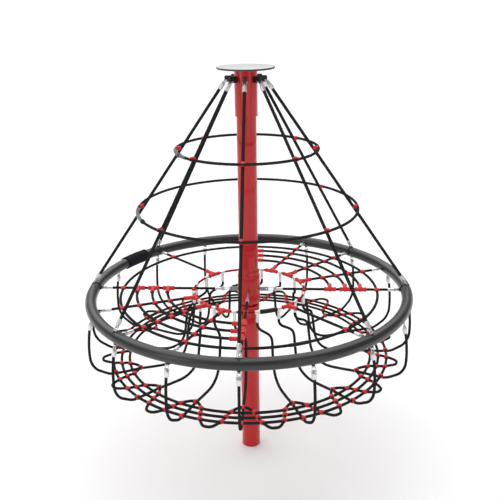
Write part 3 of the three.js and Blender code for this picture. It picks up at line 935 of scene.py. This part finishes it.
def level_crosses(radius, degrees, z, ball, collar, reach):
    """Clamps where ropes along these directions cross ropes that go round the mast."""
    return cross_clamps(polar(radius, degrees, z), polar(1, degrees, 0), polar(1, degrees + 90, 0),
                        ball, collar, reach, 20, 11)


def fittings_at(ends, inwards, diameter, length):
    """A ferrule whose face is at each end, and an eye just past it."""
    flat = np.cross(inwards, UP)
    profile = ferrule_profile(diameter, length, sizes().rope)
    return turned(ends, inwards, profile, 20), eyes(ends - 0.009 * inwards, flat, 0.009, 0.0046)


class CAROUSEL_OT_web(bpy.types.Operator):
    """Lay the flat web inside the ring: spokes, arcs and rim with their clamps, tees and ends"""

    bl_idname = "carousel.web"
    bl_label = "Web"

    def execute(self, context):
        in_ferrule = 0.02
        in_wye = INNER_RING + 0.05
        in_tee = 0.05
        for number, degrees in enumerate(MAIN_SPOKES, 1):
            make_rope(f"main_spoke_rope_{number}", [spoke(SPOKE_START + in_ferrule, degrees)],
                      [f"main_spoke_{number}"])
        for letter, start in zip("ab", CLOSED_QUARTERS):
            ropes = [spoke(in_wye, start + BAY * step) for step in (1, 2, 3)]
            for radius in WEB_ARCS:
                inset = math.degrees(in_tee / radius)
                arc = arc_path(radius, RING_Z, start + inset, start + 90 - inset)
                ropes.append(rope(arc, sizes().rope))
            make_rope(f"web_ropes_{letter}", ropes, [f"web_panel_{letter}"])
        for letter, degrees in zip("ab", SINGLE_SPOKES):
            make_rope(f"single_spoke_{letter}", [spoke(in_wye, degrees)], [f"side_spoke_{letter}"])
        rim = rope(circle_path(WEB_RIM, LOW_Z), sizes().rope, closed=True)
        make_rope("web_rim_rope", [rim], ["web_rim"])
        make_piece("web_rim_joint", [joint_sleeve(WEB_RIM, LOW_Z, 288.4, 297.4, 0.0125)],
                   material_for(black_polyethylene))
        self.add_clamps()
        self.add_tees()
        self.add_ends()
        return {"FINISHED"}

    def add_clamps(self):
        places = [(WEB_RIM, degrees) for degrees in ALL_SPOKES]
        places += [(radius, degrees) for radius in WEB_ARCS for degrees in CLOSED_SPOKES]
        radius, degrees = np.array(places).T
        ball = sizes().clamp / 2
        clamps = level_crosses(radius, degrees, RING_Z - 0.002, ball, ball * 0.74, ball * 1.35)
        make_piece("web_clamps", [clamps], red_plastic())

    def add_tees(self):
        """Three tees on each main spoke, whose arms point into the closed quarter beside it."""
        length = 0.088
        degrees = np.repeat(MAIN_SPOKES, len(WEB_ARCS))
        side = np.repeat([1, -1, 1, -1], len(WEB_ARCS))
        radius = np.tile(WEB_ARCS, len(MAIN_SPOKES))
        bodies = turned(polar(radius - length / 2, degrees, RING_Z), polar(1, degrees, 0),
                        tee_profile(0.0165, length))
        arms = turned(polar(radius, degrees, RING_Z), polar(side, degrees + 90, 0),
                      branch_profile(0.0205, 0.0150, 0.084))
        make_piece("web_tees", [bodies, arms], red_plastic())

    def add_ends(self):
        """A ferrule, an eye and a shackle at both ends, and an anchor in the ring's tube."""
        rod, width = sizes().shackle, 0.022
        ends = polar(SPOKE_END, ALL_SPOKES, RING_Z)
        inwards = -polar(1, ALL_SPOKES, 0)
        starts = polar(SPOKE_START, MAIN_SPOKES, RING_Z)
        outwards = polar(1, MAIN_SPOKES, 0)
        ferrules, rings = fittings_at(ends, inwards, 0.026, 0.048)
        hub_ferrules, hub_rings = fittings_at(starts, outwards, 0.024, 0.050)
        make_piece("web_ferrules", [ferrules, hub_ferrules], material_for(swaged_aluminium))
        flat = polar(1, ALL_SPOKES + 90, 0)
        bows = shackles(ends - 0.008 * inwards, -inwards, flat, rod, width, 0.036)
        bows += shackles(starts - 0.008 * outwards, -outwards, UP, rod, width, 0.058)
        make_piece("web_shackles", bows + [rings, hub_rings], material_for(stainless_steel))
        anchor = rounded([(0.013, 0), (0.013, 0.014), (0.009, 0.018), (0.009, 0.027)], 0.002)
        feet = polar(RING_RADIUS - RING_TUBE + 0.002, ALL_SPOKES, RING_Z)
        make_piece("ring_anchors", [turned(feet, inwards, anchor, 16)], dark_plate())


class CAROUSEL_OT_hub_lugs(bpy.types.Operator):
    """Cut the four grey plates that stand out from the hub and hold the main spokes"""

    bl_idname = "carousel.hub_lugs"
    bl_label = "Hub lugs"

    def execute(self, context):
        half_height = 0.0155
        outline = lug_outline(HUB_HOLE - HUB_RADIUS + 0.002, HUB_LUG_REACH - HUB_HOLE, half_height,
                              half_height)
        lugs = lug_plates(HUB_HOLE, MAIN_SPOKES, RING_Z, outline, 0.010)
        grey = material_for(galvanised_steel, "galvanised_steel", "8E9194")
        make_piece("hub_brackets", [lugs], grey, ["hub_lugs"])
        return {"FINISHED"}


class CAROUSEL_OT_inner_ring(bpy.types.Operator):
    """Lay the small red ring round the mast with its wyes, crosses, joint sleeve and hanging tubes"""

    bl_idname = "carousel.inner_ring"
    bl_label = "Inner ring"

    def execute(self, context):
        hose = rope(circle_path(INNER_RING, LOW_Z, 0.008), sizes().hose, closed=True)
        make_piece("inner_ring_rope", [hose],
                   material_for(braided_polyester, "red_polyester", tuple(colours().hose)),
                   ["inner_ring"])
        make_piece("inner_ring_joint", [joint_sleeve(INNER_RING, LOW_Z, 283.5, 301.5, 0.0165)],
                   material_for(black_polyethylene), ["inner_sleeve"])
        self.add_wyes()
        ball = sizes().clamp * 0.46
        clamps = level_crosses(INNER_RING, MAIN_SPOKES, LOW_Z, ball, ball * 0.8, ball * 1.25)
        make_piece("inner_clamps", [clamps], red_plastic())
        tubes = BAYS - BAY / 2
        tube = rounded([(0.0085, 0), (0.0115, 0.004), (0.0115, 0.072), (0.0098, 0.080)], 0.003)
        saddle = rounded([(0.0095, -0.019), (0.0135, -0.017), (0.0135, 0.017), (0.0095, 0.019)],
                         0.002)
        hanging = turned(polar(INNER_RING, tubes, LOW_Z + 0.002), (0, 0, -1), tube)
        saddles = turned(polar(INNER_RING, tubes, LOW_Z), polar(1, tubes + 90, 0), saddle)
        make_piece("hanging_tubes", [hanging, saddles], material_for(swaged_aluminium))
        return {"FINISHED"}

    def add_wyes(self):
        """A sleeve on the ring at each side spoke, with a branch to the spoke. The sleeve's radius
        is 14.2 mm plus a bell-shaped bead of 2.8 mm near each end, and 3 mm less at its mouths."""
        half_span = math.degrees(0.052 / INNER_RING)
        parts = []
        for degrees in SIDE_SPOKES:
            path = arc_path(INNER_RING, LOW_Z, degrees - half_span, degrees + half_span, 0.006)
            share = np.abs(np.linspace(-1, 1, len(path)))
            radii = 0.0142 + 0.0028 * np.exp(-((share - 0.88) / 0.08) ** 2) - 0.003 * (share > 0.97)
            parts.append(swollen(path, radii))
        heading = unit(polar(0.090, SIDE_SPOKES, RING_Z - LOW_Z))
        parts.append(turned(polar(INNER_RING, SIDE_SPOKES, LOW_Z), heading,
                            branch_profile(0.0195, 0.0148, 0.094)))
        make_piece("wyes", parts, red_plastic())


# ---------- basket ----------


def hanging_path():
    """One hanging rope at direction 0, as a smooth curve: down outside, round the floor's edge, in
    along the floor, up beside the mast and half a bay aside to its tube."""
    floor = FLOOR_Z
    top = RING_Z - RING_TUBE
    in_plane = np.array([
        (1.194, top - 0.064), (1.201, top - 0.094), (1.210, RING_Z - 0.200), (1.2165, RING_Z - 0.290),
        (1.212, RING_Z - 0.383), (1.181, RING_Z - 0.446), (1.133, RING_Z - 0.481),
        (1.079, floor + 0.003), (1.030, floor), (0.960, floor), (0.860, floor + 0.004), (0.750, floor),
        (0.650, floor + 0.001), (0.588, RING_Z - 0.492), (0.538, RING_Z - 0.455),
        (0.504, RING_Z - 0.385), (0.488, RING_Z - 0.285), (0.476, RING_Z - 0.205),
    ])
    points = [polar(radius, 0, z) for radius, z in in_plane]
    points += [polar(0.461, -BAY * 0.10, RING_Z - 0.167), polar(0.428, -BAY * 0.40, RING_Z - 0.137),
               polar(INNER_RING, -BAY * 0.5, RING_Z - 0.108),
               polar(INNER_RING, -BAY * 0.5, RING_Z - 0.08)]
    return spaced(smooth(points), 0.010)


def wave_path():
    """The wave rope, the same in each bay: a narrow inner peak over the hanging rope, legs that
    cross the three circles, and a broad outer valley half a bay on."""
    legs_out, legs_in = np.array(WAVE_CROSSINGS), 1 - np.array(WAVE_CROSSINGS[::-1])
    shoulder = WAVE_VALLEY - 0.012
    shares = np.array([0, *legs_out, 0.42, 0.5, 0.58, *legs_in])
    radii = [WAVE_PEAK, *CIRCLE_RADII, shoulder, WAVE_VALLEY, shoulder, *CIRCLE_RADII[::-1]]
    degrees = BAYS[:, None] + BAY * shares
    return spaced(smooth(polar(np.tile(radii, 16), degrees.ravel(), WAVE_Z), True), 0.010, True)


class CAROUSEL_OT_basket(bpy.types.Operator):
    """Hang the basket: sixteen ropes, three closed ropes, the wave rope and all their clamps"""

    bl_idname = "carousel.basket"
    bl_label = "Basket"

    def execute(self, context):
        grid, _ = rope(hanging_path(), sizes().rope, (0, 1, 0))
        for number, degrees in enumerate(BAYS, 1):
            cosine, sine = math.cos(math.radians(degrees)), math.sin(math.radians(degrees))
            turn = np.array([[cosine, sine, 0], [-sine, cosine, 0], [0, 0, 1]])
            make_rope(f"basket_rope_{number}", [(grid @ turn, False)], [f"hanging_rope_{number}"])
        sleeves = []
        for number, radius in enumerate(CIRCLE_RADII, 1):
            circle = rope(circle_path(radius, BASKET_Z), sizes().rope, closed=True)
            make_rope(f"basket_ring_rope_{number}", [circle], [f"basket_circle_{number}"])
            sleeves.append(joint_sleeve(radius, BASKET_Z, 143.2, 149.4, 0.0125))
        make_piece("basket_joints", sleeves, material_for(black_polyethylene))
        make_rope("basket_wave", [rope(wave_path(), sizes().rope, closed=True)], ["wave_rope"])
        self.add_clamps()
        self.add_hangers()
        return {"FINISHED"}

    def add_clamps(self):
        """One clamp wherever the wave passes a closed rope, one at each inner peak, and one where
        each hanging rope passes the outer closed rope."""
        lean = 25  # degrees between the wave's legs and the radius where they cross the circles
        ball = sizes().basket_clamp / 2
        shape = ball, ball * 0.88, ball * 1.2, 14, 8
        centres, circles, legs = [], [], []
        for radius, share in zip(CIRCLE_RADII, WAVE_CROSSINGS):
            for place, leg_lean in ((share, lean), (1 - share, -lean)):
                degrees = BAYS + BAY * place
                centres.append(polar(radius, degrees, (BASKET_Z + WAVE_Z) / 2))
                circles.append(polar(1, degrees + 90, 0))
                legs.append(polar(1, degrees + leg_lean, 0))
        crossings = cross_clamps(np.concatenate(centres), np.concatenate(circles),
                                 np.concatenate(legs), *shape, tall=1.05)
        on_hanging = np.concatenate([polar(WAVE_PEAK, BAYS, (WAVE_Z + FLOOR_Z + 0.004) / 2),
                                     polar(CIRCLE_RADII[-1], BAYS, (BASKET_Z + FLOOR_Z) / 2)])
        along = np.tile(polar(1, BAYS, 0), (2, 1))
        aside = np.tile(polar(1, BAYS + 90, 0), (2, 1))
        peaks = cross_clamps(on_hanging, aside, along, *shape, tall=1.25)
        make_piece("basket_clamps", [crossings, peaks], red_plastic())

    def add_hangers(self):
        """A dark anchor under the ring, a shackle and a ferrule at the top of each rope."""
        down = unit(polar(0.15, BAYS, -1.0))
        tops = polar(HANGER_RADIUS, BAYS, RING_Z - RING_TUBE - 0.050)
        profile = ferrule_profile(0.0335, 0.043, sizes().rope)
        make_piece("basket_ferrules", [turned(tops, down, profile)], material_for(swaged_aluminium))
        flat = polar(1, BAYS + 90, 0)
        pins = tops - 0.007 * down
        parts = [eyes(pins, flat, 0.008, 0.004)]
        parts += shackles(pins, -down, flat, sizes().shackle, 0.022, 0.036)
        make_piece("basket_shackles", parts, material_for(stainless_steel))
        anchor = rounded([(0.012, 0), (0.012, 0.008), (0.007, 0.012), (0.007, 0.018)], 0.002)
        feet = polar(ANCHOR_RADIUS, BAYS, RING_Z - RING_TUBE + 0.003)
        make_piece("basket_anchors", [turned(feet, (0, 0, -1), anchor, 16)], dark_plate())


# ---------- stage ----------


class CAROUSEL_OT_stage(bpy.types.Operator):
    """Set the pale floor, the soft light and the camera"""

    bl_idname = "carousel.stage"
    bl_label = "Stage"

    def execute(self, context):
        scene = context.scene
        scene.view_settings.view_transform = "Standard"
        half = 400.0
        corners = [(-half, -half, 0), (half, -half, 0), (half, half, 0), (-half, half, 0)]
        mesh = bpy.data.meshes.new("floor")
        mesh.from_pydata(corners, [], [(0, 1, 2, 3)])
        mesh.materials.append(studio_floor())
        floor = bpy.data.objects.new("floor", mesh)
        scene.collection.objects.link(floor)
        scene.world = self.studio_world()
        self.add_key_light(scene)
        self.add_camera(scene)
        return {"FINISHED"}

    def studio_world(self):
        """A white tent: dim at the sides, with one broad soft lamp overhead and a little behind,
        two upright soft panels that round tubes mirror as stripes, and a white backdrop."""
        world = bpy.data.worlds.new("studio")
        world.use_nodes = True
        tree = world.node_tree
        tree.nodes.clear()
        view = add_node(tree, "ShaderNodeTexCoord").outputs["Generated"]
        split = add_node(tree, "ShaderNodeSeparateXYZ", {"Vector": view})
        total = add_node(tree, "ShaderNodeMapRange", {"Value": split.outputs["X"], "From Min": -1.0,
                         "To Min": 0.46, "To Max": 0.30}).outputs["Result"]
        lamp = Vector((-0.12, 0.38, 0.92)).normalized()
        to_lamp = add_node(tree, "ShaderNodeVectorMath", {0: view, 1: lamp}, operation="DOT_PRODUCT")
        glow = add_node(tree, "ShaderNodeMapRange", {"Value": to_lamp.outputs["Value"],
                        "From Min": 0.64, "From Max": 0.78, "To Max": 1.85},
                        interpolation_type="SMOOTHSTEP")
        total = add_node(tree, "ShaderNodeMath", {0: total, 1: glow.outputs["Result"]}).outputs[0]
        flat = add_node(tree, "ShaderNodeCombineXYZ", {"X": split.outputs["X"],
                        "Y": split.outputs["Y"]})
        heading = add_node(tree, "ShaderNodeVectorMath", {0: flat.outputs[0]}, operation="NORMALIZE")
        for degrees, strength in ((222, 1.8), (310, 1.2)):
            panel = (math.cos(math.radians(degrees)), math.sin(math.radians(degrees)), 0)
            nearness = add_node(tree, "ShaderNodeVectorMath", {0: heading.outputs[0], 1: panel},
                                operation="DOT_PRODUCT")
            width = add_node(tree, "ShaderNodeMapRange", {"Value": nearness.outputs["Value"],
                             "From Min": 0.975, "From Max": 0.995},
                             interpolation_type="SMOOTHSTEP")
            height = add_node(tree, "ShaderNodeMapRange", {"Value": split.outputs["Z"],
                              "From Min": 0.4, "From Max": 0.8, "To Min": strength, "To Max": 0.0},
                              interpolation_type="SMOOTHSTEP")
            total = add_node(tree, "ShaderNodeMath", {0: width.outputs["Result"],
                             1: height.outputs["Result"], 2: total},
                             operation="MULTIPLY_ADD").outputs[0]
        seen = add_node(tree, "ShaderNodeLightPath").outputs["Is Camera Ray"]
        strength = add_node(tree, "ShaderNodeMix", {"Factor": seen, "A": total, "B": 1.0})
        background = add_node(tree, "ShaderNodeBackground", {"Color": (1, 1, 1, 1),
                              "Strength": strength.outputs["Result"]})
        add_node(tree, "ShaderNodeOutputWorld", {"Surface": background.outputs[0]})
        return world

    def add_key_light(self, scene):
        data = bpy.data.lights.new("key", "SUN")
        data.angle = math.radians(50)
        data.energy = 0.12
        light = bpy.data.objects.new("key", data)
        light.rotation_euler = Vector((0.5, 0.55, -0.67)).to_track_quat("-Z", "Y").to_euler()
        scene.collection.objects.link(light)

    def add_camera(self, scene):
        data = bpy.data.cameras.new("camera")
        data.lens = 52.86
        data.sensor_width = 36.0
        camera = bpy.data.objects.new("camera", data)
        place = Vector((0.2965, -5.0926, 3.5106))
        target = Vector((0.0118, 0.0007, 1.6632))
        ahead = (target - place).normalized()
        right = ahead.cross(Vector((0, 0, 1))).normalized()
        up = right.cross(ahead)
        roll = math.radians(-0.82)
        tilted_right = right * math.cos(roll) + up * math.sin(roll)
        tilted_up = up * math.cos(roll) - right * math.sin(roll)
        turn = Matrix((tilted_right, tilted_up, -ahead)).transposed().to_4x4()
        camera.matrix_world = Matrix.Translation(place) @ turn
        scene.collection.objects.link(camera)
        scene.camera = camera


class CAROUSEL_PT_panel(bpy.types.Panel):
    """The carousel's steps and settings"""

    bl_label = "Rope carousel"
    bl_idname = "CAROUSEL_PT_panel"
    bl_space_type = "VIEW_3D"
    bl_region_type = "UI"
    bl_category = "Carousel"

    def draw(self, context):
        for settings in (context.scene.carousel_sizes, context.scene.carousel_colours):
            box = self.layout.box()
            for name in settings.__annotations__:
                box.prop(settings, name)
        for operator in OPERATORS:
            self.layout.operator(operator.bl_idname)


OPERATORS = (
    CAROUSEL_OT_stage,
    CAROUSEL_OT_steelwork,
    CAROUSEL_OT_top_plate,
    CAROUSEL_OT_head_lugs,
    CAROUSEL_OT_main_ropes,
    CAROUSEL_OT_hoops,
    CAROUSEL_OT_ring,
    CAROUSEL_OT_web,
    CAROUSEL_OT_hub_lugs,
    CAROUSEL_OT_inner_ring,
    CAROUSEL_OT_basket,
)
CLASSES = (CarouselSizes, CarouselColours, *OPERATORS, CAROUSEL_PT_panel)


def register():
    for cls in CLASSES:
        bpy.utils.register_class(cls)
    bpy.types.Scene.carousel_sizes = bpy.props.PointerProperty(type=CarouselSizes)
    bpy.types.Scene.carousel_colours = bpy.props.PointerProperty(type=CarouselColours)


def unregister():
    del bpy.types.Scene.carousel_colours
    del bpy.types.Scene.carousel_sizes
    for cls in reversed(CLASSES):
        bpy.utils.unregister_class(cls)


def main():
    register()
    for operator in OPERATORS:
        name = operator.bl_idname.split(".")[1]
        getattr(bpy.ops.carousel, name)()


if __name__ == "__main__":
    main()
